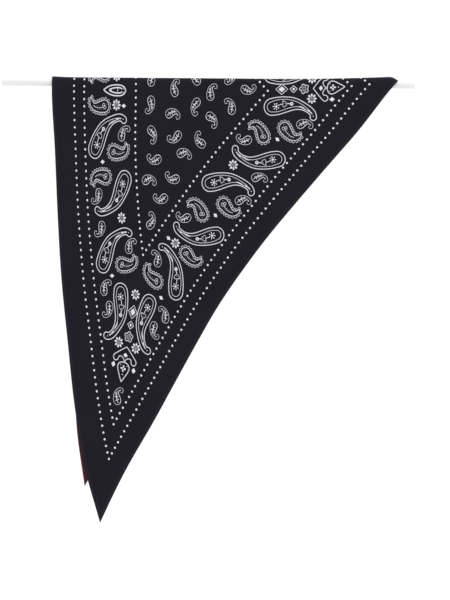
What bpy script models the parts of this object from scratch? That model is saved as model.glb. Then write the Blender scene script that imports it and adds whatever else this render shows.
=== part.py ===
"""A triangular wool scarf hung over a thin white rod.

The scarf is half of a one-metre square, cut from corner to corner, with narrow hems turned to its wrong
side. It hangs folded along the line from its square corner to the middle of its long edge: the front fall
faces -Y, the back fall faces +Y, and the cloth between them goes over the rod. The rod lies along X with
the origin at its middle, where it is held. Its long edge hangs at the left and its square corner lies at
the right. Lengths are in metres.
"""

import math
from collections import namedtuple

import bpy
from mathutils import Vector

for thing in list(bpy.data.objects):
    bpy.data.objects.remove(thing, do_unlink=True)


# The cut. Each short edge runs along the threads, so the long edge and the fold line are on the bias.
SHORT_EDGE = 1.0
HALF_LONG_EDGE = SHORT_EDGE / math.sqrt(2)
CLOTH_THICK = 0.0012
HEM_WIDE = 0.006
HEM_THICK = 0.0010
SEAM_GAP = 0.0003
CHORD_ROOM = 0.0002  # a hem's straight chords stay this much clearer of the cloth's

# The rod
ROD_LONG = 0.764
ROD_RADIUS = 0.007
ROD_END_BEVEL = 0.0008
ROD_SIDES = 40

# How the cloth lies on the rod
SNUG_RADIUS = ROD_RADIUS + SEAM_GAP + CLOTH_THICK / 2
CORNER_LIFT = 0.006  # the hemmed square corner is stiff and stands off the rod
CORNER_LIFT_FROM = 0.470
EDGE_LIFT = 0.0015  # so does the doubled hem of the long edge
EDGE_LIFT_WIDE = 0.060
HANGING_HALF_GAP = 0.0055  # the falls swing a little closer together below the rod
CLOSING_DROP = 0.25
JOINT_DROP = 0.006  # below the rod's middle, where the falls begin
HEM_DROP = 0.010

# How it hangs: one row for each seventh of the half long edge, from the fold line to the tip. edge_x is
# where the long edge hangs, edge_drop its way down the cloth from the crest of the rod, share the share
# of the cut's width that the stretched bias keeps, and widen how that grows towards the short edge. tilt
# and bend say how the row sinks away from the level. back_x is the long edge of the back fall.
HangRow = namedtuple("HangRow", "edge_x edge_drop share widen tilt bend back_x")
HANG = (
    HangRow(-0.2900, 0.0215, 0.800, 0.150, 0.050, -0.088, -0.2900),
    HangRow(-0.2835, 0.1390, 0.745, 0.255, 0.035, -0.110, -0.2830),
    HangRow(-0.2775, 0.2585, 0.745, 0.280, 0.015, -0.160, -0.2765),
    HangRow(-0.2695, 0.3780, 0.790, 0.185, -0.050, -0.115, -0.2700),
    HangRow(-0.2570, 0.4950, 0.830, 0.080, -0.100, -0.070, -0.2600),
    HangRow(-0.2435, 0.6120, 0.860, 0.130, -0.165, 0.035, -0.2465),
    HangRow(-0.2235, 0.7260, 0.870, 0.450, -0.275, 0.190, -0.2375),
    HangRow(-0.1940, 0.8300, 0.930, 0.230, -0.450, 0.350, -0.2240),
)
LAST_ROW = len(HANG) - 1
BACK_STRETCH = 0.972  # the back fall has stretched a little less than the front one

# Soft upright folds that both falls share: where each stands at the rod, its half width, how far it
# comes forward, and how it leans to the right on its way down.
SoftFold = namedtuple("SoftFold", "x half_width forward lean")
SOFT_FOLDS = (
    SoftFold(-0.240, 0.080, 0.006, 0.06),
    SoftFold(-0.105, 0.085, -0.007, -0.04),
    SoftFold(0.035, 0.095, 0.006, -0.16),
    SoftFold(0.170, 0.090, -0.005, -0.32),
)
FOLDS_FULL_DROP = 0.42
TIP_FLARE = 0.008
TIP_FLARE_FROM = 0.55
TIP_FLARE_LONG = 0.27

# Mesh steps, and how far and how finely places on the cut are searched for
FALL_STEPS = 36
CREST_STEPS = 10
NOSE_STEPS = 4
NORMAL_STEP = 0.0005
HALVINGS = 50
FOLD_SEARCH = 0.14  # the rod's lower side meets the cloth closer to the fold line than this
CORNER_SEARCH_FROM = 0.002  # and meets the short edges between these distances from the square corner
CORNER_SEARCH_TO = 0.120

NAVY = (0.012, 0.011, 0.017, 1.0)
BURGUNDY = (0.060, 0.011, 0.020, 1.0)
WHITE_PAINT = (0.80, 0.80, 0.80, 1.0)
WOOL_ROUGHNESS = 0.9
PAINT_ROUGHNESS = 0.35
SHARP_END = math.radians(60)
SMOOTH_BELOW = math.radians(40)


def eased(value):
    """0 below 0, 1 above 1, and smooth between."""
    value = min(max(value, 0.0), 1.0)
    return value * value * (3.0 - 2.0 * value)


def hang_value(column, along):
    """A column of HANG at this distance from the fold line, as a smooth curve through the rows."""
    place = min(abs(along) / HALF_LONG_EDGE, 1.0) * LAST_ROW
    row = min(int(place), LAST_ROW - 1)
    part = place - row
    middle = [getattr(HANG[row], column), getattr(HANG[row + 1], column)]
    # Places mirror at the fold line, and distances run straight on through it.
    mirrors = column in ("edge_x", "share", "widen", "back_x")
    if row > 0:
        before = getattr(HANG[row - 1], column)
    elif mirrors:
        before = middle[1]
    else:
        before = 2 * middle[0] - middle[1]
    if row + 2 <= LAST_ROW:
        after = getattr(HANG[row + 2], column)
    else:
        after = 2 * middle[1] - middle[0]
    return 0.5 * (
        2 * middle[0]
        + (middle[1] - before) * part
        + (2 * before - 5 * middle[0] + 4 * middle[1] - after) * part**2
        + (3 * middle[0] - before - 3 * middle[1] + after) * part**3
    )


def crest_radius(across):
    """Radius of the cloth's middle over the rod, this far from the long edge."""
    corner = max(across - CORNER_LIFT_FROM, 0.0) / (HALF_LONG_EDGE - CORNER_LIFT_FROM)
    edge = max(1.0 - max(across, 0.0) / EDGE_LIFT_WIDE, 0.0)
    return SNUG_RADIUS + CORNER_LIFT * corner**2 + EDGE_LIFT * edge**2


def front_path(across, along):
    """Way down the front of the cloth from the crest of the rod."""
    edge = hang_value("edge_drop", along)
    return edge + across * (hang_value("tilt", along) + hang_value("bend", along) * across)


def path(across, along):
    """The same way, below zero over the crest and down the back."""
    if along >= 0.0:
        return front_path(across, along)
    fold = front_path(across, 0.0)
    return fold - BACK_STRETCH * (front_path(across, -along) - fold)


def hanging_drop(across, along, side):
    """How far below the rod's middle a point of the front (side 1) or back (side -1) hangs. It is under
    zero while the cloth is over the rod."""
    return side * path(across, along) - crest_radius(across) * math.pi / 2


def forward(x, drop):
    """How far the soft folds bring the cloth forward."""
    total = 0.0
    for fold in SOFT_FOLDS:
        off = (x - fold.x - fold.lean * drop) / fold.half_width
        total += fold.forward * math.exp(-off * off)
    return total * eased(drop / FOLDS_FULL_DROP)


def cloth_point(across, along):
    """The middle of the cloth at a place of the flat cut: across from the long edge, along from the fold
    line, with the front half of the cut above zero."""
    edge_x = hang_value("edge_x" if along >= 0.0 else "back_x", along)
    x = edge_x + across * (hang_value("share", along) + hang_value("widen", along) * across)
    way = path(across, along)
    side = 1.0 if way >= 0.0 else -1.0
    radius = crest_radius(across)
    drop = abs(way) - radius * math.pi / 2
    if drop < 0.0:
        turn = abs(way) / radius
        return Vector((x, -side * radius * math.sin(turn), radius * math.cos(turn)))
    half_gap = radius - (radius - HANGING_HALF_GAP) * eased(drop / CLOSING_DROP)
    half_gap += TIP_FLARE * eased((drop - TIP_FLARE_FROM) / TIP_FLARE_LONG)
    return Vector((x, -side * half_gap - forward(x, drop), -drop))


def cloth_normal(across, along):
    """The way the printed side faces."""
    widthwise = cloth_point(across + NORMAL_STEP, along) - cloth_point(across - NORMAL_STEP, along)
    lengthwise = cloth_point(across, along + NORMAL_STEP) - cloth_point(across, along - NORMAL_STEP)
    return lengthwise.cross(widthwise).normalized()


def place_where(drop_at, drop, low, high):
    """The place between two others where the cloth hangs this far below the rod."""
    for _ in range(HALVINGS):
        middle = (low + high) / 2
        if drop_at(middle) < drop:
            low = middle
        else:
            high = middle
    return (low + high) / 2


def along_at_drop(across, drop, side):
    """How far along the cut this drop is reached, at one distance from the long edge."""

    def drop_at(away):
        return hanging_drop(across, side * away, side)

    return side * place_where(drop_at, drop, -FOLD_SEARCH, FOLD_SEARCH)


def across_at_drop(drop, side):
    """How far from the long edge a short edge reaches this drop."""

    def drop_at(away):
        return hanging_drop(HALF_LONG_EDGE - away, side * away, side)

    return HALF_LONG_EDGE - place_where(drop_at, drop, CORNER_SEARCH_FROM, CORNER_SEARCH_TO)


def material(name, colour, roughness):
    made = bpy.data.materials.new(name)
    made.use_nodes = True
    shader = made.node_tree.nodes["Principled BSDF"]
    shader.inputs["Base Color"].default_value = colour
    shader.inputs["Roughness"].default_value = roughness
    shader.inputs["Metallic"].default_value = 0.0
    return made


def sheet(name, places, faces, thick, colour, sunk=0.0):
    """A wall of this thickness round the cloth's middle, or sunk towards the wrong side from it."""
    points = []
    for across, along in places:
        points.append(cloth_point(across, along) - sunk * cloth_normal(across, along))
    mesh = bpy.data.meshes.new(name)
    mesh.from_pydata(points, [], faces)
    mesh.shade_smooth()
    made = bpy.data.objects.new(name, mesh)
    bpy.context.scene.collection.objects.link(made)
    made.data.materials.append(material(name + "_wool", colour, WOOL_ROUGHNESS))
    wall = made.modifiers.new("wall", "SOLIDIFY")
    wall.thickness = thick
    wall.offset = 0.0
    return made


def fall(name, side, colour):
    """One hanging half, in columns that get shorter towards the square corner."""
    drop = JOINT_DROP + SEAM_GAP / 2
    last = across_at_drop(drop, side)
    places = []
    columns = []
    for column in range(FALL_STEPS + 1):
        across = last * column / FALL_STEPS
        top = along_at_drop(across, drop, side)
        bottom = side * (HALF_LONG_EDGE - across)
        cells = FALL_STEPS - column
        columns.append(len(places))
        for step in range(cells + 1):
            part = step / cells if cells else 0.0
            places.append((across, top + (bottom - top) * part))
    faces = []
    for column in range(FALL_STEPS):
        here, right = columns[column], columns[column + 1]
        for step in range(FALL_STEPS - column):
            corner = (here + step, here + step + 1, right + step)
            faces.append(corner if side > 0 else corner[::-1])
            if step < FALL_STEPS - column - 1:
                corner = (here + step + 1, right + step + 1, right + step)
                faces.append(corner if side > 0 else corner[::-1])
    return sheet(name, places, faces, CLOTH_THICK, colour)


def over_rod(name, colour):
    """The stretch over the rod, which narrows to the square corner."""
    drop = JOINT_DROP - SEAM_GAP / 2
    ends = sorted(across_at_drop(drop, side) for side in (1, -1))
    stations = [ends[0] * step / FALL_STEPS for step in range(FALL_STEPS + 1)]
    stations += [ends[0] + (ends[1] - ends[0]) * step / 2 for step in (1, 2)]
    stations += [ends[1] + (HALF_LONG_EDGE - ends[1]) * step / NOSE_STEPS for step in range(1, NOSE_STEPS)]
    places = []
    for across in stations:
        edge = HALF_LONG_EDGE - across
        low = max(along_at_drop(across, drop, -1), -edge)
        high = min(along_at_drop(across, drop, 1), edge)
        for step in range(CREST_STEPS + 1):
            places.append((across, low + (high - low) * step / CREST_STEPS))
    wide = CREST_STEPS + 1
    faces = []
    for column in range(len(stations) - 1):
        for step in range(CREST_STEPS):
            here = column * wide + step
            faces.append((here, here + 1, here + wide + 1, here + wide))
    nose = len(places)
    places.append((HALF_LONG_EDGE, 0.0))
    for step in range(CREST_STEPS):
        here = (len(stations) - 1) * wide + step
        faces.append((here, here + 1, nose))
    return sheet(name, places, faces, CLOTH_THICK, colour)


def hem(name, outer, inner, colour):
    """A turned hem behind the cloth, between two lists of places as long as each other."""
    count = len(outer)
    faces = [(step, step + 1, count + step + 1, count + step) for step in range(count - 1)]
    sunk = CLOTH_THICK / 2 + SEAM_GAP + CHORD_ROOM + HEM_THICK / 2
    return sheet(name, outer + inner, faces, HEM_THICK, colour, sunk)


def spread(first, last):
    """Evenly spaced values, both ends with them."""
    return [first + (last - first) * step / FALL_STEPS for step in range(FALL_STEPS + 1)]


def long_edge_hem(name, side, colour):
    """Down the long edge, to the mitre at the tip."""
    lines = []
    for across in (SEAM_GAP, HEM_WIDE):
        start = side * along_at_drop(across, HEM_DROP, side)
        end = HALF_LONG_EDGE - across * (1 + math.sqrt(2)) - SEAM_GAP * 2
        lines.append([(across, side * along) for along in spread(start, end)])
    outer, inner = lines if side > 0 else lines[::-1]
    return hem(name, outer, inner, colour)


def short_edge_hem(name, side, colour):
    """Down a short edge, to the same mitre."""
    start = HALF_LONG_EDGE - across_at_drop(HEM_DROP, side)
    lines = []
    for inset in (SEAM_GAP, HEM_WIDE):
        aslant = inset / math.sqrt(2)
        end = HALF_LONG_EDGE - inset - aslant
        line = []
        for down in spread(start + aslant, end):
            line.append((HALF_LONG_EDGE - down - aslant, side * (down - aslant)))
        lines.append(line)
    outer, inner = lines if side < 0 else lines[::-1]
    return hem(name, outer, inner, colour)


def rod(name):
    """The round rod, white paint on wood, with its sharp ends taken off."""
    bpy.ops.mesh.primitive_cylinder_add(
        vertices=ROD_SIDES, radius=ROD_RADIUS, depth=ROD_LONG, rotation=(0.0, math.pi / 2, 0.0)
    )
    made = bpy.context.active_object
    made.name = name
    made.data.name = name
    bevel = made.modifiers.new("ends", "BEVEL")
    bevel.width = ROD_END_BEVEL
    bevel.segments = 2
    bevel.limit_method = "ANGLE"
    bevel.angle_limit = SHARP_END
    made.data.shade_smooth()
    made.data.set_sharp_from_angle(angle=SMOOTH_BELOW)
    made.data.materials.append(material("rod_paint", WHITE_PAINT, PAINT_ROUGHNESS))
    return made


rod("rod")
over_rod("cloth_over_rod", NAVY)
for side, word in ((1, "front"), (-1, "back")):
    fall("cloth_" + word, side, NAVY)
    long_edge_hem("hem_long_edge_" + word, side, BURGUNDY)
    short_edge_hem("hem_short_edge_" + word, side, BURGUNDY)
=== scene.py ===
"""A printed wool scarf hung over a thin white rod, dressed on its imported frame. Lengths are in metres,
except in the print, which is drawn in millimetres of the flat cut."""

import math
from collections import namedtuple

import bpy
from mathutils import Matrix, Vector


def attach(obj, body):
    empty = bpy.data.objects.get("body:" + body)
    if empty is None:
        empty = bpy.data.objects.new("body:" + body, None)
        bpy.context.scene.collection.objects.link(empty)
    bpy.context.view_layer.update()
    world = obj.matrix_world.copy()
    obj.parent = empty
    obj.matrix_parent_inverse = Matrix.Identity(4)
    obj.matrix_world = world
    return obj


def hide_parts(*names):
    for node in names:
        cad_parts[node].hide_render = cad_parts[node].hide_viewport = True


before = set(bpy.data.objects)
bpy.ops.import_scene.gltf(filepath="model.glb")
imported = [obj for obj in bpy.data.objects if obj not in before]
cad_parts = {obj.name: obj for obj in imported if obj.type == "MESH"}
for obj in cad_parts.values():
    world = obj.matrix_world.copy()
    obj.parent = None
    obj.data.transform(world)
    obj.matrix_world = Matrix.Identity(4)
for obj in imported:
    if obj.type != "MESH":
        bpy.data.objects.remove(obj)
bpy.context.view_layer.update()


# ---- The rod ------------------------------------------------------------------------------------------
# A round wooden rod in white satin paint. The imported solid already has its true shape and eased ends, so
# it only gets its paint: nearly even, with faint brush marks along it and a little wear.
class Wire:
    """A socket of a material. Arithmetic on it adds Math nodes, and node() adds any other node."""

    def __init__(self, tree, socket=None):
        self.tree = tree
        self.socket = socket

    def node(self, kind, settings=None, sockets=None, output=0):
        made = self.tree.nodes.new(kind)
        for name, value in (settings or {}).items():
            if name == "stops":
                for stop, (place, colour) in zip(made.color_ramp.elements, value):
                    stop.position = place
                    stop.color = colour
            else:
                setattr(made, name, value)
        for name, value in (sockets or {}).items():
            if isinstance(value, Wire):
                self.tree.links.new(value.socket, made.inputs[name])
            else:
                made.inputs[name].default_value = value
        return Wire(self.tree, made.outputs[output])

    def math(self, operation, first, second=0.0):
        return self.node("ShaderNodeMath", {"operation": operation}, {0: first, 1: second})

    def __add__(self, other):
        return self.math("ADD", self, other)

    def __radd__(self, other):
        return self.math("ADD", other, self)

    def __sub__(self, other):
        return self.math("SUBTRACT", self, other)

    def __rsub__(self, other):
        return self.math("SUBTRACT", other, self)

    def __mul__(self, other):
        return self.math("MULTIPLY", self, other)

    def __rmul__(self, other):
        return self.math("MULTIPLY", other, self)


def new_material(name):
    """A material with its shader, and a wire to start from."""
    made = bpy.data.materials.new(name)
    made.use_nodes = True
    shader = made.node_tree.nodes["Principled BSDF"]
    return made, shader, Wire(made.node_tree)


def blended(start, share, first, second):
    """The first colour turning into the second."""
    colours = {"Factor": share, 6: first, 7: second}
    return start.node("ShaderNodeMix", {"data_type": "RGBA"}, colours, 2)


def joined(wire, shader, name):
    wire.tree.links.new(wire.socket, shader.inputs[name])


PAINT = (0.70, 0.70, 0.70, 1.0)
PAINT_WORN = (0.64, 0.64, 0.64, 1.0)
BRUSH_MARKS = (6.0, 900.0, 900.0)
BRUSH_DEPTH = 0.0002
PAINT_CLOUD_SCALE = 14.0

paint, paint_shader, start = new_material("rod_paint")
place = start.node("ShaderNodeTexCoord", output="Object")
stretched = start.node("ShaderNodeMapping", sockets={"Vector": place, "Scale": BRUSH_MARKS})
brushed = start.node("ShaderNodeTexNoise", sockets={"Vector": stretched, "Scale": 1.0, "Detail": 3.0})
cloudy = start.node(
    "ShaderNodeTexNoise", sockets={"Vector": place, "Scale": PAINT_CLOUD_SCALE, "Detail": 2.0}
)
joined(blended(start, 0.35 * brushed + 0.4 * cloudy, PAINT, PAINT_WORN), paint_shader, "Base Color")
joined(0.30 + 0.15 * brushed, paint_shader, "Roughness")
relief = start.node(
    "ShaderNodeBump", sockets={"Strength": 0.15, "Distance": BRUSH_DEPTH, "Height": brushed}
)
joined(relief, paint_shader, "Normal")

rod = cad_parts["rod"]
rod.data.materials.clear()
rod.data.materials.append(paint)


# ---- The cloth ----------------------------------------------------------------------------------------
# Half of a one-metre square of fine wool, near-black navy on its printed side and burgundy on its wrong
# side, folded over the rod along the line from its square corner to the middle of its long edge.
SHORT_EDGE = 1.0
HALF_LONG_EDGE = SHORT_EDGE / math.sqrt(2)
CLOTH_THICK = 0.0007

# How it lies on the rod and hangs. These are the solids' values, but for the crest's stand, the back's
# stretch, and some of the first and last rows of HANG, which move the cloth by a few millimetres.
SNUG_RADIUS = 0.0079
CORNER_LIFT = 0.006
CORNER_LIFT_FROM = 0.470
EDGE_LIFT = 0.0015
EDGE_LIFT_WIDE = 0.060
CREST_STAND = 0.0012  # how far the fold stands off the rod at its crest
HANGING_HALF_GAP = 0.0055
CLOSING_DROP = 0.25
BACK_STRETCH = 0.976
TIP_FLARE = 0.008
TIP_FLARE_FROM = 0.55
TIP_FLARE_LONG = 0.27
FOLDS_FULL_DROP = 0.42
NORMAL_STEP = 0.0005

# One row for each seventh of the half long edge: where the long edge hangs, its way down from the crest
# of the rod, what share of the cut's width is left and how that grows, and how the row tilts and bends.
# back_x is the long edge of the back fall. The rows are a rounded fit to the hang of the real scarf, and
# some were moved after it.
HangRow = namedtuple("HangRow", "edge_x edge_drop share widen tilt bend back_x")
HANG = (
    HangRow(-0.2900, 0.0230, 0.800, 0.150, 0.039, -0.070, -0.2900),
    HangRow(-0.2835, 0.1405, 0.745, 0.255, 0.024, -0.092, -0.2830),
    HangRow(-0.2775, 0.2593, 0.745, 0.280, 0.009, -0.150, -0.2765),
    HangRow(-0.2695, 0.3780, 0.790, 0.185, -0.050, -0.115, -0.2700),
    HangRow(-0.2570, 0.4950, 0.830, 0.080, -0.100, -0.070, -0.2600),
    HangRow(-0.2435, 0.6120, 0.860, 0.130, -0.165, 0.035, -0.2465),
    HangRow(-0.2235, 0.7260, 0.870, 0.450, -0.275, 0.190, -0.2390),
    HangRow(-0.1940, 0.8300, 0.930, 0.230, -0.450, 0.350, -0.2245),
)
LAST_ROW = len(HANG) - 1
SoftFold = namedtuple("SoftFold", "x half_width forward lean")
SOFT_FOLDS = (
    SoftFold(-0.240, 0.080, 0.006, 0.06),
    SoftFold(-0.105, 0.085, -0.007, -0.04),
    SoftFold(0.035, 0.095, 0.006, -0.16),
    SoftFold(0.170, 0.090, -0.005, -0.32),
)


def eased(value):
    """0 below 0, 1 above 1, and smooth between."""
    value = min(max(value, 0.0), 1.0)
    return value * value * (3.0 - 2.0 * value)


def hang_value(column, along):
    """A column of HANG at this distance from the fold line, as a smooth curve through the rows."""
    place = min(abs(along) / HALF_LONG_EDGE, 1.0) * LAST_ROW
    row = min(int(place), LAST_ROW - 1)
    part = place - row
    middle = [getattr(HANG[row], column), getattr(HANG[row + 1], column)]
    # Places mirror at the fold line, and distances run straight on through it.
    if row > 0:
        before = getattr(HANG[row - 1], column)
    elif column in ("edge_x", "share", "widen", "back_x"):
        before = middle[1]
    else:
        before = 2 * middle[0] - middle[1]
    if row + 2 <= LAST_ROW:
        after = getattr(HANG[row + 2], column)
    else:
        after = 2 * middle[1] - middle[0]
    return 0.5 * (
        2 * middle[0]
        + (middle[1] - before) * part
        + (2 * before - 5 * middle[0] + 4 * middle[1] - after) * part**2
        + (3 * middle[0] - before - 3 * middle[1] + after) * part**3
    )


def crest_radius(across):
    """Radius of the cloth's middle over the rod, this far from the long edge."""
    corner = max(across - CORNER_LIFT_FROM, 0.0) / (HALF_LONG_EDGE - CORNER_LIFT_FROM)
    edge = max(1.0 - max(across, 0.0) / EDGE_LIFT_WIDE, 0.0)
    return SNUG_RADIUS + CORNER_LIFT * corner**2 + EDGE_LIFT * edge**2


def front_path(across, along):
    """Way down the front of the cloth from the crest of the rod."""
    edge = hang_value("edge_drop", along)
    return edge + across * (hang_value("tilt", along) + hang_value("bend", along) * across)


def path(across, along):
    """The same way, below zero over the crest and down the back."""
    if along >= 0.0:
        return front_path(across, along)
    fold = front_path(across, 0.0)
    return fold - BACK_STRETCH * (front_path(across, -along) - fold)


def forward(x, drop):
    """How far the soft folds bring the cloth forward."""
    total = 0.0
    for fold in SOFT_FOLDS:
        off = (x - fold.x - fold.lean * drop) / fold.half_width
        total += fold.forward * math.exp(-off * off)
    return total * eased(drop / FOLDS_FULL_DROP)


def cloth_point(across, along):
    """The middle of the cloth at a place of the flat cut: across from the long edge, along from the fold
    line, with the front half of the cut above zero."""
    edge_x = hang_value("edge_x" if along >= 0.0 else "back_x", along)
    x = edge_x + across * (hang_value("share", along) + hang_value("widen", along) * across)
    way = path(across, along)
    side = 1.0 if way >= 0.0 else -1.0
    radius = crest_radius(across)
    drop = abs(way) - radius * math.pi / 2
    if drop < 0.0:
        turn = abs(way) / radius
        stand = CREST_STAND * math.cos(turn) ** 2
        return Vector((x, -side * radius * math.sin(turn), radius * math.cos(turn) + stand))
    half_gap = radius - (radius - HANGING_HALF_GAP) * eased(drop / CLOSING_DROP)
    half_gap += TIP_FLARE * eased((drop - TIP_FLARE_FROM) / TIP_FLARE_LONG)
    return Vector((x, -side * half_gap - forward(x, drop), -drop))


def cloth_normal(across, along):
    """The way the printed side faces."""
    widthwise = cloth_point(across + NORMAL_STEP, along) - cloth_point(across - NORMAL_STEP, along)
    lengthwise = cloth_point(across, along + NORMAL_STEP) - cloth_point(across, along - NORMAL_STEP)
    return lengthwise.cross(widthwise).normalized()


def on_cloth(across, along, above):
    """A point this far above the cloth's middle on its printed side, or under it on its wrong side."""
    return cloth_point(across, along) + above * cloth_normal(across, along)


def cloth_object(name, places, points, faces, materials):
    """An object whose UV map holds the places on the flat cut, so that its weave follows the threads."""
    mesh = bpy.data.meshes.new(name)
    mesh.from_pydata(points, [], faces)
    cut = mesh.uv_layers.new(name="cut")
    for loop in mesh.loops:
        cut.data[loop.index].uv = places[loop.vertex_index]
    mesh.shade_smooth()
    for made in materials:
        mesh.materials.append(made)
    piece = bpy.data.objects.new(name, mesh)
    bpy.context.scene.collection.objects.link(piece)
    return piece


# The weave: a plain weave whose threads run along the short edges, with a soft nap over it.
THREAD_PITCH = 0.00055
NAP_SCALE = 1400.0
CLOUD_SCALE = 7.0
WEAVE_DEPTH = 0.0003
HEM_WIDE = 0.006
HEM_SHEEN_FADES_FROM = HEM_WIDE * 0.5  # the painted sheen along the doubled hem fades out across these two
HEM_SHEEN_FADES_TO = HEM_WIDE * 1.3


def woven(start):
    """The cut's two directions, and the height of the weave and the nap on it."""
    places = start.node("ShaderNodeUVMap", {"uv_map": "cut"})
    across = start.node("ShaderNodeSeparateXYZ", sockets={0: places}, output="X")
    along = start.node("ShaderNodeSeparateXYZ", sockets={0: places}, output="Y")
    turns = math.pi * math.sqrt(2) / THREAD_PITCH
    warp = start.math("SINE", (across + along) * turns)
    weft = start.math("SINE", (across - along) * turns)
    nap = start.node("ShaderNodeTexNoise", sockets={"Vector": places, "Scale": NAP_SCALE, "Detail": 2.0})
    cloud = start.node(
        "ShaderNodeTexNoise", sockets={"Vector": places, "Scale": CLOUD_SCALE, "Detail": 3.0}
    )
    return across, along, 0.5 + 0.5 * warp * weft, nap, cloud


def wool(name, dark, light, painted_hem_sheen):
    """Matt fine wool between two colours, with a thin bloom of fibres, and a painted sheen that lightens
    it along its hems.
    """
    made, shader, start = new_material(name)
    across, along, weave, nap, cloud = woven(start)
    short_edge_away = (HALF_LONG_EDGE - across - start.math("ABSOLUTE", along)) * (1 / math.sqrt(2))
    edge_away = start.math("MINIMUM", across, short_edge_away)
    # Painted sheen: a mask that is 1 at the cut's edges and fades to 0 a little way in, where the pressed,
    # doubled cloth would catch the light.
    hem = start.node(
        "ShaderNodeMapRange",
        {"interpolation_type": "SMOOTHSTEP"},
        {
            "Value": edge_away,
            "From Min": HEM_SHEEN_FADES_FROM,
            "From Max": HEM_SHEEN_FADES_TO,
            "To Min": 1.0,
            "To Max": 0.0,
        },
    )
    tone = blended(start, 0.25 * weave + 0.35 * nap + 0.9 * (cloud - 0.35), dark, light)
    # The painted sheen lightens the colour along the hems.
    joined(blended(start, 0.8 * hem, tone, painted_hem_sheen), shader, "Base Color")
    joined(0.80 + 0.15 * nap, shader, "Roughness")
    relief = start.node(
        "ShaderNodeBump", sockets={"Strength": 0.5, "Distance": WEAVE_DEPTH, "Height": weave + 0.8 * nap}
    )
    joined(relief, shader, "Normal")
    shader.inputs["Specular IOR Level"].default_value = 0.08
    shader.inputs["Sheen Weight"].default_value = 0.02
    shader.inputs["Sheen Roughness"].default_value = 0.5
    return made


NAVY_DARK = (0.0076, 0.0068, 0.0116, 1.0)
NAVY_LIGHT = (0.0126, 0.0113, 0.0187, 1.0)
# Painted sheen: the lighter colours that the pressed, doubled cloth takes along the hems.
NAVY_PAINTED_SHEEN = (0.0165, 0.0155, 0.0215, 1.0)
BURGUNDY_DARK = (0.060, 0.014, 0.020, 1.0)
BURGUNDY_LIGHT = (0.095, 0.024, 0.033, 1.0)
BURGUNDY_PAINTED_SHEEN = (0.085, 0.021, 0.029, 1.0)

CELLS = 142
CELL = HALF_LONG_EDGE / CELLS
FINE_FROM = -8  # the cells that bend over the rod are cut finer
FINE_TO = 1
FINE = 5

lines = []
for cell in range(-CELLS, CELLS):
    cuts = FINE if FINE_FROM <= cell < FINE_TO else 1
    lines += [(cell + cut / cuts) * CELL for cut in range(cuts)]
lines.append(HALF_LONG_EDGE)
places = []
faces = []
columns = []
for cell in range(CELLS + 1):
    away = (CELLS - cell) * CELL + CELL / 100
    held = [number for number, line in enumerate(lines) if abs(line) < away]
    columns.append((held[0], held[-1], len(places) - held[0]))
    places += [(cell * CELL, lines[number]) for number in held]
for (low, high, first), (next_low, next_high, next_first) in zip(columns, columns[1:]):
    for number in range(low, high):
        here = first + number
        there = next_first + number
        if number < next_low:
            faces.append((here, here + 1, next_first + next_low))
        elif number >= next_high:
            faces.append((here, here + 1, next_first + next_high))
        else:
            faces.append((here, here + 1, there + 1, there))
points = [cloth_point(*spot) for spot in places]
cloth = cloth_object(
    "scarf_cloth",
    places,
    points,
    faces,
    [
        wool("wool_printed_side", NAVY_DARK, NAVY_LIGHT, NAVY_PAINTED_SHEEN),
        wool("wool_wrong_side", BURGUNDY_DARK, BURGUNDY_LIGHT, BURGUNDY_PAINTED_SHEEN),
    ],
)
wall = cloth.modifiers.new("wall", "SOLIDIFY")
wall.thickness = CLOTH_THICK
wall.offset = 0.0
wall.material_offset = 1
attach(cloth, "root")
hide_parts("cloth_front", "cloth_over_rod", "cloth_back")


# ---- The hems -----------------------------------------------------------------------------------------
# All three edges are turned to the wrong side and pressed flat: a strip of doubled cloth with a soft
# roll, mitred at the corners. Each follows its edge from corner to corner.
HEM_THICK = 0.0008
HEM_CELLS = 150
# How far in from the edge, in shares of the hem's width, and how deep, in shares of its thickness.
HEM_PROFILE = (
    (0.01, 0.05),
    (0.01, 0.55),
    (0.06, 0.90),
    (0.20, 1.00),
    (0.80, 1.00),
    (0.94, 0.88),
    (1.00, 0.55),
    (1.00, 0.05),
)


def long_edge_place(inset, part):
    """From tip to tip: part runs from -1 to 1."""
    return inset, part * (HALF_LONG_EDGE - inset * (1 + math.sqrt(2)))


def short_edge_place(inset, part, side):
    """From the square corner to a tip: part runs from 0 to 1."""
    aslant = inset / math.sqrt(2)
    down = part * (HALF_LONG_EDGE - inset - 2 * aslant)
    return HALF_LONG_EDGE - down - 2 * aslant, side * down


def hem(name, place_at, parts, material, *nodes):
    """A turned hem whose profile is carried along one edge of the cut."""
    places = []
    points = []
    faces = []
    wide = len(HEM_PROFILE)
    for part in parts:
        for inward, deep in HEM_PROFILE:
            place = place_at(inward * HEM_WIDE, part)
            places.append(place)
            points.append(on_cloth(*place, -CLOTH_THICK / 2 - deep * HEM_THICK))
    for station in range(len(parts) - 1):
        for corner in range(wide):
            here = station * wide + corner
            beside = station * wide + (corner + 1) % wide
            faces.append((here, beside, beside + wide, here + wide))
    faces.append(tuple(range(wide)))
    faces.append(tuple(len(places) - 1 - corner for corner in range(wide)))
    made = cloth_object(name, places, points, faces, [material])
    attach(made, "root")
    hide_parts(*nodes)
    return made


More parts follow.
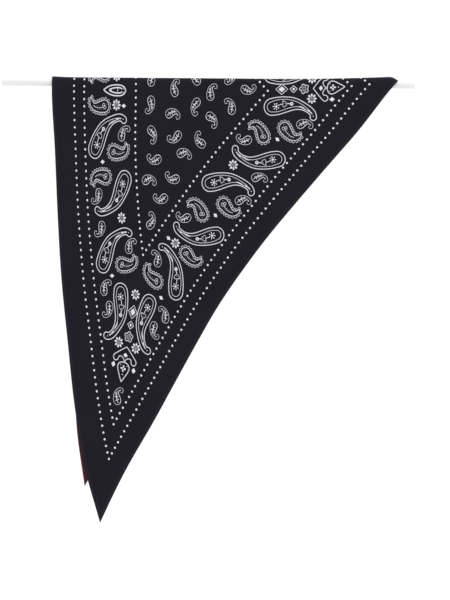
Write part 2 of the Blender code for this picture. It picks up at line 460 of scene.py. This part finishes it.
# The hems' own strips take the light burgundy as their painted sheen at the cut's edges.
hem_wool = wool("wool_of_the_hems", BURGUNDY_DARK, BURGUNDY_LIGHT, BURGUNDY_LIGHT)
even_parts = [step / HEM_CELLS for step in range(HEM_CELLS + 1)]
both_ways = [line / HALF_LONG_EDGE for line in lines]
hems = [
    hem("hem_long_edge", long_edge_place, both_ways, hem_wool, "hem_long_edge_front", "hem_long_edge_back")
]
for side, word in ((1, "front"), (-1, "back")):

    def down_this_side(inset, part):
        return short_edge_place(inset, part, side)

    name = "hem_short_edge_" + word
    hems.append(hem("turned_" + name, down_this_side, even_parts, hem_wool, name))

# Each hem is held by a row of small stitches in a dark thread, which show on both sides of the cloth.
STITCH_INSET = 0.0046
STITCH_LONG = 0.0024
STITCH_STEP = 0.0033
THREAD_RADIUS = 0.00017
THREAD_COLOUR = (0.012, 0.011, 0.017, 1.0)
STITCH_PROFILE = ((-0.5, 0.5), (0.0, 1.0), (0.5, 0.5))  # along the stitch, and the share of its radius
THREAD_SIDES = 6

thread, thread_shader, start = new_material("sewing_thread")
thread_shader.inputs["Base Color"].default_value = THREAD_COLOUR
thread_shader.inputs["Roughness"].default_value = 0.6
thread_shader.inputs["Specular IOR Level"].default_value = 0.3

rows = [
    (long_edge_place(STITCH_INSET, -1.0), long_edge_place(STITCH_INSET, 1.0)),
    (short_edge_place(STITCH_INSET, 0.0, 1), short_edge_place(STITCH_INSET, 1.0, 1)),
    (short_edge_place(STITCH_INSET, 0.0, -1), short_edge_place(STITCH_INSET, 1.0, -1)),
]
stitch_places = []
stitch_points = []
stitch_faces = []
for begin, end in rows:
    begin, end = Vector(begin), Vector(end)
    run = end - begin
    count = int(run.length / STITCH_STEP)
    for number in range(count):
        place = begin + run * (number + 0.5) / count
        middle = cloth_point(*place)
        outward = cloth_normal(*place)
        ahead = (cloth_point(*(place + run.normalized() * NORMAL_STEP)) - middle).normalized()
        beside = outward.cross(ahead)
        for above in (CLOTH_THICK / 2, -CLOTH_THICK / 2 - HEM_THICK):
            first = len(stitch_points)
            for forth, share in STITCH_PROFILE:
                for corner in range(THREAD_SIDES):
                    turn = 2 * math.pi * corner / THREAD_SIDES
                    across_thread = beside * math.cos(turn) + outward * math.sin(turn)
                    centre = middle + outward * above + ahead * forth * STITCH_LONG
                    stitch_points.append(centre + across_thread * THREAD_RADIUS * share)
                    stitch_places.append(tuple(place))
            for station in range(len(STITCH_PROFILE) - 1):
                for corner in range(THREAD_SIDES):
                    here = first + station * THREAD_SIDES + corner
                    other = first + station * THREAD_SIDES + (corner + 1) % THREAD_SIDES
                    stitch_faces.append((here, here + THREAD_SIDES, other + THREAD_SIDES, other))
            last = first + (len(STITCH_PROFILE) - 1) * THREAD_SIDES
            stitch_faces.append(tuple(first + corner for corner in range(THREAD_SIDES)))
            stitch_faces.append(tuple(last + THREAD_SIDES - 1 - corner for corner in range(THREAD_SIDES)))
stitches = cloth_object("hem_stitches", stitch_places, stitch_points, stitch_faces, [thread])
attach(stitches, "root")


# ---- The print: rows of dots --------------------------------------------------------------------------
# Three triangles of dots frame the border, printed in off-white on the navy side. The two outer ones
# stand close together, and the inner one closes the border towards the plain middle.
MM = 0.001
INK_STAND = 0.00012
INK_ABOVE = CLOTH_THICK / 2 + INK_STAND
INK = (0.725, 0.715, 0.765, 1.0)
INK_THIN = (0.60, 0.59, 0.64, 1.0)

ink, ink_shader, start = new_material("print_ink")
across, along, weave, nap, cloud = woven(start)
joined(blended(start, 0.5 * weave + 0.6 * (nap - 0.4), INK_THIN, INK), ink_shader, "Base Color")
joined(0.75 + 0.2 * nap, ink_shader, "Roughness")
relief = start.node(
    "ShaderNodeBump", sockets={"Strength": 0.4, "Distance": WEAVE_DEPTH, "Height": weave + 0.8 * nap}
)
joined(relief, ink_shader, "Normal")
ink_shader.inputs["Specular IOR Level"].default_value = 0.1

Spot = namedtuple("Spot", "across along turn flip")
FINE_END = 0.3  # how wide a fine-ended line is at its ends, as a share of its middle


class Screen:
    """What one printing screen prints: flat shapes in millimetres, drawn from a spot on the cut. A spot
    says where a motif stands, its turn in degrees, and -1 as its flip where it is mirrored."""

    def __init__(self):
        self.places = []
        self.faces = []
        self.spot = Spot(0.0, 0.0, 0.0, 1)

    def add(self, points):
        """Add points of the motif, turned and moved to its spot. Returns the number of the first."""
        first = len(self.places)
        cos, sin = math.cos(math.radians(self.spot.turn)), math.sin(math.radians(self.spot.turn))
        for x, y in points:
            y *= self.spot.flip
            self.places.append((self.spot.across + x * cos - y * sin, self.spot.along + x * sin + y * cos))
        return first

    def line(self, points, wide, closed=False, fine_ends=False):
        """A line of this width through the points."""
        count = len(points)
        edges = []
        for number, (x, y) in enumerate(points):
            before = points[(number - 1) % count] if closed or number else points[number]
            after = points[(number + 1) % count] if closed or number < count - 1 else points[number]
            length = math.dist(before, after) or 1.0
            half = wide / 2
            if fine_ends:
                half *= FINE_END + (1 - FINE_END) * math.sin(math.pi * number / (count - 1))
            out_x = -(after[1] - before[1]) / length * half
            out_y = (after[0] - before[0]) / length * half
            edges += [(x + out_x, y + out_y), (x - out_x, y - out_y)]
        first = self.add(edges)
        for number in range(count if closed else count - 1):
            here = first + 2 * number
            there = first + 2 * ((number + 1) % count)
            self.faces.append((here, here + 1, there + 1, there))

    def fill(self, edge):
        """A solid shape, with a ring of places half way in so that it can bend over the rod."""
        count = len(edge)
        middle = (sum(x for x, _ in edge) / count, sum(y for _, y in edge) / count)
        half_way = [((x + middle[0]) / 2, (y + middle[1]) / 2) for x, y in edge]
        first = self.add([middle, *half_way, *edge])
        for number in range(count):
            here = first + 1 + number
            there = first + 1 + (number + 1) % count
            self.faces.append((first, here, there))
            self.faces.append((here, here + count, there + count, there))

    def dot(self, middle, radius, corners=10):
        self.fill(ring(middle, radius, corners))

    def lay(self, name):
        """The print as a thin skin just above the cloth, with every face turned outwards."""
        places = [(x * MM, y * MM) for x, y in self.places]
        points = [on_cloth(*place, INK_ABOVE) for place in places]
        faces = []
        for face in self.faces:
            area = 0.0
            for one, other in zip(face, face[1:] + face[:1]):
                area += places[one][0] * places[other][1] - places[other][0] * places[one][1]
            faces.append(face if area < 0.0 else face[::-1])
        made = cloth_object(name, places, points, faces, [ink])
        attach(made, "root")
        return made


def ring(middle, radius, corners):
    """Points round a circle."""
    turns = [2 * math.pi * corner / corners for corner in range(corners)]
    return [(middle[0] + radius * math.cos(turn), middle[1] + radius * math.sin(turn)) for turn in turns]


# The frames and their steps are those of the real print.
DOT_RADIUS = 1.93
DOT_CORNERS = 12
DotFrame = namedtuple("DotFrame", "from_long_edge apex first long_steps short_steps")
DOT_FRAMES = (
    DotFrame(51.0, 654.0, 4.6, 52, 74),
    DotFrame(74.0, 621.0, 4.6, 47, 67),
    DotFrame(188.0, 460.0, 0.0, 24, 34),
)

dots = Screen()
for row in DOT_FRAMES:
    corner = row.apex - row.from_long_edge
    spots = []
    for step in range(row.long_steps + 1):
        spots.append((row.from_long_edge, row.first + (corner - row.first) * step / row.long_steps))
    for step in range(1, row.short_steps + 1):
        part = step / row.short_steps
        spots.append((row.from_long_edge + corner * part, corner * (1 - part)))
    for across, along in spots:
        for side in sorted({along, -along}):
            dots.dot((across, side), DOT_RADIUS, DOT_CORNERS)
prints = [dots.lay("print_dots")]


# ---- The print: large paisleys ------------------------------------------------------------------------
# Long drops that hook over at their tail, drawn with a strong outline and a finer one inside it that
# closes to a wedge along the tail. A flower, a leaf and a ringed bead lie along the middle.
Spine = namedtuple("Spine", "u v half_width")
STEEPEST = 0.9  # the most that a drop's half width changes for each millimetre along its spine
PETAL_CORNERS = 10


def smooth(points, steps):
    """A smooth curve through a few points, with this many steps from each to the next."""
    curve = []
    padded = [points[0], *points, points[-1]]
    for number in range(len(points) - 1):
        before, here, there, after = padded[number : number + 4]
        for step in range(steps):
            part = step / steps
            place = []
            for p, q, r, s in zip(before, here, there, after):
                bend = (2 * p - 5 * q + 4 * r - s) * part**2 + (3 * q - p - 3 * r + s) * part**3
                place.append(0.5 * (2 * q + (r - p) * part + bend))
            curve.append(tuple(place))
    return [*curve, tuple(points[-1])]


def arc(middle, start, end, steps):
    """The points between start and end on the round end of a drop."""
    first = math.atan2(start[1] - middle[1], start[0] - middle[0])
    last = math.atan2(end[1] - middle[1], end[0] - middle[0])
    if last > first:
        last -= 2 * math.pi
    radius = math.dist(middle, start)
    turns = [first + (last - first) * step / steps for step in range(1, steps)]
    return [(middle[0] + radius * math.cos(turn), middle[1] + radius * math.sin(turn)) for turn in turns]


def drop_outline(spine, steps, round_steps):
    """The closed outline round a spine: its two sides, and the round ends of its head and its tail."""
    curve = smooth(spine, steps)
    upper = []
    lower = []
    for number, (u, v, half) in enumerate(curve):
        before = curve[max(number - 1, 0)]
        after = curve[min(number + 1, len(curve) - 1)]
        length = math.dist(before[:2], after[:2])
        along = ((after[0] - before[0]) / length, (after[1] - before[1]) / length)
        grows = max(min((after[2] - before[2]) / length, STEEPEST), -STEEPEST)
        level = math.sqrt(1 - grows * grows)
        back = (-along[0] * grows * half, -along[1] * grows * half)
        out = (-along[1] * level * half, along[0] * level * half)
        upper.append((u + back[0] + out[0], v + back[1] + out[1]))
        lower.append((u + back[0] - out[0], v + back[1] - out[1]))
    tail = arc(curve[-1][:2], upper[-1], lower[-1], round_steps)
    head = arc(curve[0][:2], lower[0], upper[0], round_steps)
    return upper + tail + lower[::-1] + head


def petals(middle, count, reach, long, wide, turn=0.0):
    """Oval petals round a middle: how far out each stands, and its half length and half width."""
    shapes = []
    for number in range(count):
        angle = turn + 2 * math.pi * number / count
        cos, sin = math.cos(angle), math.sin(angle)
        shape = []
        for x, y in ring((0.0, 0.0), 1.0, PETAL_CORNERS):
            out, beside = reach + x * long, y * wide
            shape.append((middle[0] + out * cos - beside * sin, middle[1] + out * sin + beside * cos))
        shapes.append(shape)
    return shapes


def mirrored(spots):
    """The same spots on the other half of the cut."""
    return [Spot(spot.across, -spot.along, -spot.turn, -spot.flip) for spot in spots]


# The strokes and spots of all the paisleys follow the real print's own motifs closely. They aren't a
# free design.
LARGE_DROP = (
    Spine(0.0, -0.6, 14.6),
    Spine(10.0, -1.5, 15.2),
    Spine(20.0, -2.7, 14.4),
    Spine(30.0, -3.5, 12.9),
    Spine(40.0, -3.6, 11.1),
    Spine(50.0, -1.9, 8.9),
    Spine(60.0, 2.0, 6.9),
    Spine(69.0, 7.4, 6.0),
    Spine(75.5, 13.5, 5.7),
    Spine(78.2, 19.0, 5.6),
    Spine(78.2, 23.5, 5.9),
)
LARGE_INNER = (
    Spine(0.0, -0.4, 8.6),
    Spine(10.0, -1.7, 10.2),
    Spine(20.0, -3.2, 9.5),
    Spine(30.0, -4.1, 7.9),
    Spine(40.0, -3.8, 6.1),
    Spine(50.0, -1.8, 4.0),
    Spine(60.0, 2.8, 2.4),
    Spine(68.0, 8.6, 1.5),
    Spine(73.0, 13.2, 0.9),
    Spine(76.2, 17.5, 0.4),
)
NECK_STREAK = (Spine(53.0, 2.0, 0.7), Spine(59.0, 4.7, 1.3), Spine(66.0, 9.3, 0.6))
TAIL_STREAK = (Spine(69.0, 9.4, 0.6), Spine(74.0, 14.2, 1.3), Spine(76.6, 17.6, 0.8))
LEAF = ((22.0, -10.0), (26.0, -9.0), (30.0, -5.0), (28.0, -1.0), (24.0, 1.0), (22.0, -1.0), (22.0, -6.0))
LEAF_STALK = ((22.6, -10.8), (22.6, -9.3), (22.0, -5.0))
LEAF_DOT = (27.0, -4.7)
LEAF_POINT = ((30.8, -4.8), (33.0, -4.5), (35.5, -4.1))
BLOOM_AT = (8.8, -0.8)
BLOOM_STALK = ((14.0, -2.9), (17.5, -3.8), (22.0, -4.6))
BEAD_AT = (39.0, -3.8)
TAIL_DOT = (78.4, 21.7)
LARGE_SPOTS = (
    Spot(97.0, 97.0, -53.5, 1),
    Spot(161.5, 144.5, 126.0, 1),
    Spot(98.5, 283.0, -54.0, 1),
    Spot(129.5, 330.5, 105.0, 1),
    Spot(188.0, 355.0, 120.0, -1),
    Spot(246.5, 341.0, -85.5, -1),
    Spot(343.5, 249.5, 180.0, 1),
    Spot(339.5, 157.5, -1.0, 1),
    Spot(473.5, 121.5, 179.0, 1),
    Spot(467.5, 29.0, -1.5, 1),
)

large = Screen()
outline = drop_outline(LARGE_DROP, steps=5, round_steps=16)
inner_line = drop_outline(LARGE_INNER, steps=5, round_steps=12)
neck_streak = drop_outline(NECK_STREAK, steps=4, round_steps=5)
tail_streak = drop_outline(TAIL_STREAK, steps=4, round_steps=5)
leaf = smooth(LEAF, 4)
for large.spot in (*LARGE_SPOTS, *mirrored(LARGE_SPOTS)):
    large.line(outline, wide=1.4, closed=True)
    large.line(inner_line, wide=0.8, closed=True)
    large.fill(neck_streak)
    large.fill(tail_streak)
    for petal in petals(BLOOM_AT, count=7, reach=5.0, long=1.9, wide=0.85, turn=-0.35):
        large.fill(petal)
    large.dot(BLOOM_AT, radius=2.2)
    large.line(BLOOM_STALK, wide=1.1)
    large.line(leaf, wide=0.75, closed=True)
    large.line(LEAF_STALK, wide=0.9)
    large.dot(LEAF_DOT, radius=0.6, corners=6)
    large.line(LEAF_POINT, wide=1.5)
    large.line(ring(BEAD_AT, radius=2.2, corners=12), wide=2.2, closed=True)
    large.dot(TAIL_DOT, radius=0.9, corners=8)
prints.append(large.lay("print_large_paisleys"))


# ---- The print: scalloped paisleys --------------------------------------------------------------------
# Middle-sized drops edged all round with small loops, with a stem inside that splits into two curls in
# the head. Rows of fine dots follow the stem.
SCALLOPED_DROP = (
    Spine(1.0, -0.9, 10.0),
    Spine(10.0, -3.0, 8.7),
    Spine(19.5, -4.0, 6.3),
    Spine(26.5, -2.0, 4.8),
    Spine(30.7, 3.2, 3.3),
    Spine(31.8, 9.0, 1.8),
)
LOOP_COUNT = 22
LOOP_RADIUS = 2.1
LOOP_AWAY = 2.3
LOOP_TURN = 120  # how far a loop goes round on each side of its top, in degrees
LOOP_STEP = 30
TAIL_BEAD = (31.6, 10.8)
HEAD_DOT = (-3.7, 2.3)
FineRow = namedtuple("FineRow", "x y step")
FINE_ROWS = (FineRow(4.5, -7.0, 4.0), FineRow(8.0, -1.4, 3.5))
FINE_ROW_DOTS = 4
STEM =((25.5, -1.6), (21.0, -3.8), (17.0, -4.5), (12.0, -4.5), (8.0, -4.0), (4.4, -2.4))
FIRST_CURL = ((4.4, -2.4), (1.9, -5.0), (-1.4, -4.9), (-2.4, -2.4), (-0.9, -0.5), (1.4, -1.0), (2.0, -2.8))
SECOND_CURL = ((4.4, -2.4), (5.4, 0.6), (4.0, 3.0), (1.6, 3.2), (0.6, 1.2), (1.8, -0.6), (3.4, 0.0))
SCALLOPED_SPOTS = (
    Spot(120.5, 25.5, 183.0, 1),
    Spot(137.5, 99.5, -2.0, -1),
    Spot(120.5, 141.0, 177.0, -1),
    Spot(138.0, 285.0, -2.0, -1),
    Spot(319.5, 212.0, -123.5, -1),
    Spot(450.0, 82.0, -124.5, -1),
    Spot(363.0, 194.0, 45.5, -1),
    Spot(491.0, 65.0, 45.5, -1),
    Spot(277.5, 275.0, 44.5, -1),
    Spot(211.0, 320.0, -132.0, 1),
)


def loops_round(points):
    """Open loops evenly along a closed line and just outside it, each with its gap towards the line."""
    lengths = [math.dist(one, other) for one, other in zip(points, [*points[1:], points[0]])]
    gap = sum(lengths) / LOOP_COUNT
    loops = []
    travelled = 0.0
    for number, length in enumerate(lengths):
        one, other = points[number], points[(number + 1) % len(points)]
        while travelled < length and len(loops) < LOOP_COUNT:
            part = travelled / length
            outward = math.atan2(other[0] - one[0], one[1] - other[1])
            x = one[0] + (other[0] - one[0]) * part + LOOP_AWAY * math.cos(outward)
            y = one[1] + (other[1] - one[1]) * part + LOOP_AWAY * math.sin(outward)
            turns = [outward + math.radians(turn) for turn in range(-LOOP_TURN, LOOP_TURN + 1, LOOP_STEP)]
            loops.append(
                [(x + LOOP_RADIUS * math.cos(turn), y + LOOP_RADIUS * math.sin(turn)) for turn in turns]
            )
            travelled += gap
        travelled -= length
    return loops


scalloped = Screen()
body = drop_outline(SCALLOPED_DROP, steps=6, round_steps=12)
for scalloped.spot in (*SCALLOPED_SPOTS, *mirrored(SCALLOPED_SPOTS)):
    scalloped.line(body, wide=1.1, closed=True)
    for loop in loops_round(body):
        scalloped.line(loop, wide=0.72)
    scalloped.dot(TAIL_BEAD, radius=1.7)
    for stroke in (STEM, FIRST_CURL, SECOND_CURL):
        scalloped.line(smooth(stroke, 4), wide=0.8)
    for number in range(FINE_ROW_DOTS):
        for row in FINE_ROWS:
            scalloped.dot((row.x + row.step * number, row.y), radius=0.35, corners=6)
    scalloped.dot(HEAD_DOT, radius=0.5, corners=6)
prints.append(scalloped.lay("print_scalloped_paisleys"))


# ---- The print: small paisleys ------------------------------------------------------------------------
# Small drops with a fine line round the back and a stronger one along the belly, a curled tail, and a
# leafy sprig inside. They fill the border's gaps, and they alone lie tossed about the middle.
SMALL_BACK = (
    (15.2, 4.4),
    (14.2, 6.4),
    (15.6, 8.6),
    (18.2, 9.3),
    (21.2, 7.9),
    (22.7, 4.2),
    (21.6, 0.0),
    (18.8, -3.6),
    (15.0, -6.5),
    (11.0, -8.3),
    (7.0, -9.0),
    (3.0, -9.0),
    (-1.2, -8.2),
    (-5.0, -6.0),
    (-7.2, -2.6),
    (-7.4, 1.0),
    (-5.4, 4.8),
)
SMALL_BELLY = (
    (-5.4, 4.8),
    (-1.4, 6.5),
    (3.0, 5.8),
    (6.2, 4.0),
    (9.0, 2.0),
    (12.0, 0.6),
    (15.0, 0.1),
    (17.3, 1.3),
    (18.0, 3.4),
)
TAIL_KNOB = (17.9, 3.1)
STEM_KNOB = (-2.9, 1.2)
SPRIG_STEM = ((-3.4, 1.3), (0.4, -1.1), (4.2, -2.4), (9.6, -4.0), (16.0, -2.4))
SPRIG_LEAVES = (  # the root and the tip of each
    ((0.4, -1.0), (-1.2, -4.2)),
    ((4.8, -2.6), (6.2, -7.6)),
    ((9.4, -4.0), (12.6, -6.2)),
    ((1.6, -1.4), (2.3, 2.8)),
    ((5.6, -2.8), (7.2, 1.2)),
    ((9.0, -3.8), (11.0, -1.2)),
)
SMALL_SPOTS = (
    Spot(158.0, 75.5, -56.0, 1),
    Spot(101.5, 166.0, 122.0, 1),
    Spot(103.5, 219.0, 122.0, 1),
    Spot(159.0, 261.0, -58.0, 1),
    Spot(94.0, 327.0, -58.0, 1),
    Spot(101.0, 351.5, 118.5, 1),
    Spot(191.0, 394.5, 98.0, -1),
    Spot(216.5, 385.0, -95.0, -1),
    Spot(216.0, 288.0, -90.0, -1),
    Spot(289.0, 213.5, -176.0, 1),
    Spot(420.0, 84.0, -178.0, 1),
    Spot(393.5, 193.0, -4.0, 1),
    Spot(521.5, 62.5, -4.0, 1),
    Spot(429.0, 154.0, 0.0, 1),
    Spot(220.0, 15.5, 96.0, 1),
    Spot(260.0, 38.0, -2.5, 1),
    Spot(317.5, 18.5, 114.0, -1),
    Spot(343.5, 42.5, 45.0, 1),
    Spot(388.0, 32.5, -108.0, -1),
    Spot(221.5, 65.0, 62.0, 1),
    Spot(279.0, 73.0, 150.0, 1),
    Spot(329.0, 88.5, -128.0, 1),
    Spot(236.0, 112.0, 176.5, 1),
    Spot(284.5, 104.5, 2.5, 1),
    Spot(208.0, 147.5, -3.0, 1),
    Spot(272.5, 146.0, -170.5, 1),
    Spot(245.0, 177.0, 173.5, 1),
    Spot(209.5, 221.5, -60.0, -1),
    Spot(90.5, 508.5, -70.0, 1),
)
SMALL_AT_FOLD = (Spot(271.5, 1.5, -90.0, 1), Spot(345.5, 8.0, -78.0, 1), Spot(414.0, -4.0, 5.0, -1))

small = Screen()
back = smooth(SMALL_BACK, 4)
belly = smooth(SMALL_BELLY, 4)
stem = smooth(SPRIG_STEM, 4)
for small.spot in (*SMALL_SPOTS, *mirrored(SMALL_SPOTS), *SMALL_AT_FOLD):
    small.line(back, wide=0.65)
    small.line(belly, wide=1.0)
    small.dot(TAIL_KNOB, radius=1.0, corners=8)
    small.line(stem, wide=1.55, fine_ends=True)
    small.dot(STEM_KNOB, radius=1.0, corners=8)
    for root, tip in SPRIG_LEAVES:
        half_way = ((root[0] + tip[0]) / 2, (root[1] + tip[1]) / 2)
        small.line((root, half_way, tip), wide=1.4, fine_ends=True)
prints.append(small.lay("print_small_paisleys"))


# ---- The print: flowers and diamonds ------------------------------------------------------------------
# Eight-petalled flowers and small solid diamonds stand between the paisleys. A diamond's longer
# diagonal points away from the edge of the cut beside it.
FLOWER_SPOTS = (
    Spot(146.0, 24.0, 0.0, 1),
    Spot(150.0, 207.5, 0.0, 1),
    Spot(161.0, 338.0, 0.0, 1),
    Spot(259.0, 257.0, 0.0, 1),
    Spot(389.0, 127.5, 0.0, 1),
)
DIAMOND_SPOTS = (
    Spot(162.0, 25.3, 0.0, 1),
    Spot(113.5, 116.5, 0.0, 1),
    Spot(115.5, 303.0, 0.0, 1),
    Spot(214.5, 348.5, 45.0, 1),
    Spot(246.0, 247.0, 45.0, 1),
    Spot(345.5, 214.5, 45.0, 1),
    Spot(476.5, 86.0, 45.0, 1),
)


def diamond(long, wide, middle=(0.0, 0.0)):
    """The corners of a diamond, and the middles of its sides."""
    x, y = middle
    corners = [(x + long, y), (x, y + wide), (x - long, y), (x, y - wide)]
    edge = []
    for one, other in zip(corners, corners[1:] + corners[:1]):
        edge += [one, ((one[0] + other[0]) / 2, (one[1] + other[1]) / 2)]
    return edge


def flower(screen, middle=(0.0, 0.0)):
    """Eight petals round a fine ring with a dot in it."""
    for petal in petals(middle, count=8, reach=6.5, long=2.8, wide=1.75):
        screen.fill(petal)
    screen.line(ring(middle, radius=2.3, corners=12), wide=0.5, closed=True)
    screen.dot(middle, radius=0.7, corners=6)


fillers = Screen()
for fillers.spot in (*FLOWER_SPOTS, *mirrored(FLOWER_SPOTS)):
    flower(fillers)
for fillers.spot in (*DIAMOND_SPOTS, *mirrored(DIAMOND_SPOTS)):
    fillers.fill(diamond(long=4.9, wide=3.5))
prints.append(fillers.lay("print_flowers_and_diamonds"))


# ---- The print: corner ornaments ----------------------------------------------------------------------
# In each of the cut's three corners a bracket with curled ends holds a heart-shaped leaf that points
# into the corner, with diamonds, a rosette and flowers before it. A pointed leaf stands on the long edge.
BRACKET_ARM = (
    (0.5, 0.0),
    (8.0, 9.6),
    (15.5, 18.6),
    (19.0, 22.6),
    (23.0, 24.2),
    (27.4, 21.8),
    (28.0, 17.8),
    (25.4, 14.2),
    (20.6, 13.0),
    (18.8, 9.8),
    (19.8, 5.4),
    (23.0, 1.9),
    (27.2, 0.4),
)
LEAF_SIDE = ((27.2, 0.0), (27.8, 4.4), (29.8, 9.0), (34.6, 11.9), (40.5, 11.0), (50.5, 5.9), (60.8, 0.0))
LEAF_EYE = (32.4, 6.9)
LEAF_BLOOM_AT = (38.0, 0.0)
LEAF_END_DOT = (48.2, 0.0)
BRACKET_DIAMOND_AT = (15.0, 0.0)
SIDE_DIAMOND_AT = (36.0, 21.6)
SIDE_FLOWER_AT = (-2.3, 18.4)
CORNER_SPOTS = (Spot(548.0, -1.2, 1.0, 1), Spot(127.0, 422.5, 112.5, 1), Spot(127.0, -422.5, -112.5, -1))

# The rosette: two lines with a lobe to each petal, and a dot in each lobe of the outer one.
ROSETTE_AT = -17.0
ROSETTE_PETALS = 5
ROSETTE_STEPS = 80
ROSETTE_DOTS_OUT = 6.1
Lobed = namedtuple("Lobed", "valley rise wide")
ROSETTE_LINES = (Lobed(5.7, 3.3, 1.15), Lobed(2.4, 1.8, 0.6))

# The framed diamonds: how large the solid one in the middle is, as a share of its frame.
FramedDiamond = namedtuple("FramedDiamond", "x long wide core")
FRAMED_DIAMONDS = (FramedDiamond(-37.5, 7.0, 6.4, 0.42), FramedDiamond(-60.5, 11.8, 9.3, 0.56))

POINTED_LEAF_SPOT = Spot(117.5, 0.0, 0.0, 1)
POINTED_LEAF_SIDE = (
    (0.0, 0.0),
    (6.0, 3.6),
    (14.0, 7.0),
    (25.0, 8.9),
    (37.0, 8.6),
    (45.0, 5.6),
    (48.6, 0.0),
)
INNER_LEAF_SIDE = ((12.5, 0.6), (16.0, 2.0), (22.0, 3.6), (30.0, 4.5), (36.0, 4.1), (41.0, 2.6))
INNER_LEAF_END = ((42.0, 4.8), (44.2, 3.2), (45.2, 1.2))
POINTED_LEAF_DOT = (15.5, 0.0)
POINTED_LEAF_BAR = ((31.0, -4.0), (31.0, 0.0), (31.0, 4.0))


def on_half(points, half):
    """The points of half a motif, mirrored about its axis where half is -1."""
    return [(x, half * y) for x, y in points]


ornaments = Screen()
for ornaments.spot in CORNER_SPOTS:
    for half in (1, -1):
        ornaments.line(on_half(smooth(BRACKET_ARM, 4), half), wide=1.4)
        ornaments.line(on_half(smooth(LEAF_SIDE, 5), half), wide=1.5)
        eye, side_diamond, side_flower = on_half((LEAF_EYE, SIDE_DIAMOND_AT, SIDE_FLOWER_AT), half)
        ornaments.dot(eye, radius=0.9, corners=8)
        ornaments.fill(diamond(5.1, 4.2, side_diamond))
        flower(ornaments, side_flower)
    for petal in petals(LEAF_BLOOM_AT, count=4, reach=3.4, long=2.3, wide=1.7):
        ornaments.fill(petal)
    ornaments.dot(LEAF_END_DOT, radius=1.0, corners=8)
    ornaments.fill(diamond(3.9, 4.8, BRACKET_DIAMOND_AT))
    for lobed in ROSETTE_LINES:
        edge = []
        for step in range(ROSETTE_STEPS):
            angle = 2 * math.pi * step / ROSETTE_STEPS
            out = lobed.valley + lobed.rise * abs(math.cos(ROSETTE_PETALS / 2 * angle))
            edge.append((ROSETTE_AT - out * math.cos(angle), out * math.sin(angle)))
        ornaments.line(edge, wide=lobed.wide, closed=True)
    for number in range(ROSETTE_PETALS):
        angle = 2 * math.pi * number / ROSETTE_PETALS
        place = (ROSETTE_AT - ROSETTE_DOTS_OUT * math.cos(angle), ROSETTE_DOTS_OUT * math.sin(angle))
        ornaments.dot(place, radius=0.4, corners=6)
    ornaments.dot((ROSETTE_AT, 0.0), radius=0.7, corners=8)
    for framed in FRAMED_DIAMONDS:
        middle = (framed.x, 0.0)
        ornaments.line(diamond(framed.long, framed.wide, middle), wide=1.2, closed=True)
        ornaments.fill(diamond(framed.long * framed.core, framed.wide * framed.core, middle))
ornaments.spot = POINTED_LEAF_SPOT
for half in (1, -1):
    ornaments.line(on_half(smooth(POINTED_LEAF_SIDE, 6), half), wide=1.9)
    ornaments.line(on_half(smooth(INNER_LEAF_SIDE, 6), half), wide=2.0)
    ornaments.line(on_half(INNER_LEAF_END, half), wide=0.7)
ornaments.dot(POINTED_LEAF_DOT, radius=2.0)
ornaments.line(POINTED_LEAF_BAR, wide=1.0)
prints.append(ornaments.lay("print_corner_ornaments"))


# ---- The studio ---------------------------------------------------------------------------------------
# A plain pale floor under a white sky, with two wide soft boxes above. The picture is taken straight on
# with a long lens, from the height of the scarf's middle, and rolled by under half a degree.
FLOOR_Z = -1.02
FLOOR_HALF = 30.0
FLOOR_PALE = (0.92, 0.92, 0.92, 1.0)
FLOOR_GLOW = 0.09
SKY_STRENGTH = 1.03
WHITE = (1.0, 1.0, 1.0, 1.0)

floor_mesh = bpy.data.meshes.new("floor")
corners = [(x * FLOOR_HALF, y * FLOOR_HALF, FLOOR_Z) for x, y in ((-1, -1), (1, -1), (1, 1), (-1, 1))]
floor_mesh.from_pydata(corners, [], [(0, 1, 2, 3)])
floor = bpy.data.objects.new("floor", floor_mesh)
bpy.context.scene.collection.objects.link(floor)
floor_paint, floor_shader, start = new_material("floor_paint")
floor_shader.inputs["Base Color"].default_value = FLOOR_PALE
floor_shader.inputs["Roughness"].default_value = 0.9
floor_shader.inputs["Emission Color"].default_value = WHITE
floor_shader.inputs["Emission Strength"].default_value = FLOOR_GLOW
floor_mesh.materials.append(floor_paint)

sky = bpy.data.worlds.new("sky")
sky.use_nodes = True
sky.node_tree.nodes["Background"].inputs["Color"].default_value = WHITE
sky.node_tree.nodes["Background"].inputs["Strength"].default_value = SKY_STRENGTH
bpy.context.scene.world = sky

SoftBox = namedtuple("SoftBox", "name place aim size power")
SOFT_BOXES = (
    SoftBox("key_light", (1.4, -2.0, 1.7), (0.0, 0.0, -0.4), 1.4, 13.0),
    SoftBox("top_light", (0.1, -0.3, 2.3), (0.0, 0.0, -0.2), 2.0, 30.0),
)
for box in SOFT_BOXES:
    light = bpy.data.lights.new(box.name, "AREA")
    light.shape = "SQUARE"
    light.size = box.size
    light.energy = box.power
    lamp = bpy.data.objects.new(box.name, light)
    lamp.location = box.place
    lamp.rotation_euler = (Vector(box.aim) - Vector(box.place)).to_track_quat("-Z", "Y").to_euler()
    bpy.context.scene.collection.objects.link(lamp)

CAMERA_AT = (0.0336, -4.205, -0.4014)
CAMERA_ROLL = math.radians(-0.45)
PICTURE_HIGH = 600
LENS_IN_PIXELS = 2268

lens = bpy.data.cameras.new("camera")
lens.sensor_width = 36.0
lens.lens = lens.sensor_width * LENS_IN_PIXELS / PICTURE_HIGH
lens.clip_end = 60.0
camera = bpy.data.objects.new("camera", lens)
camera.location = CAMERA_AT
camera.rotation_euler = (math.radians(90), CAMERA_ROLL, 0.0)
bpy.context.scene.collection.objects.link(camera)
bpy.context.scene.camera = camera
bpy.context.scene.view_settings.view_transform = "Standard"
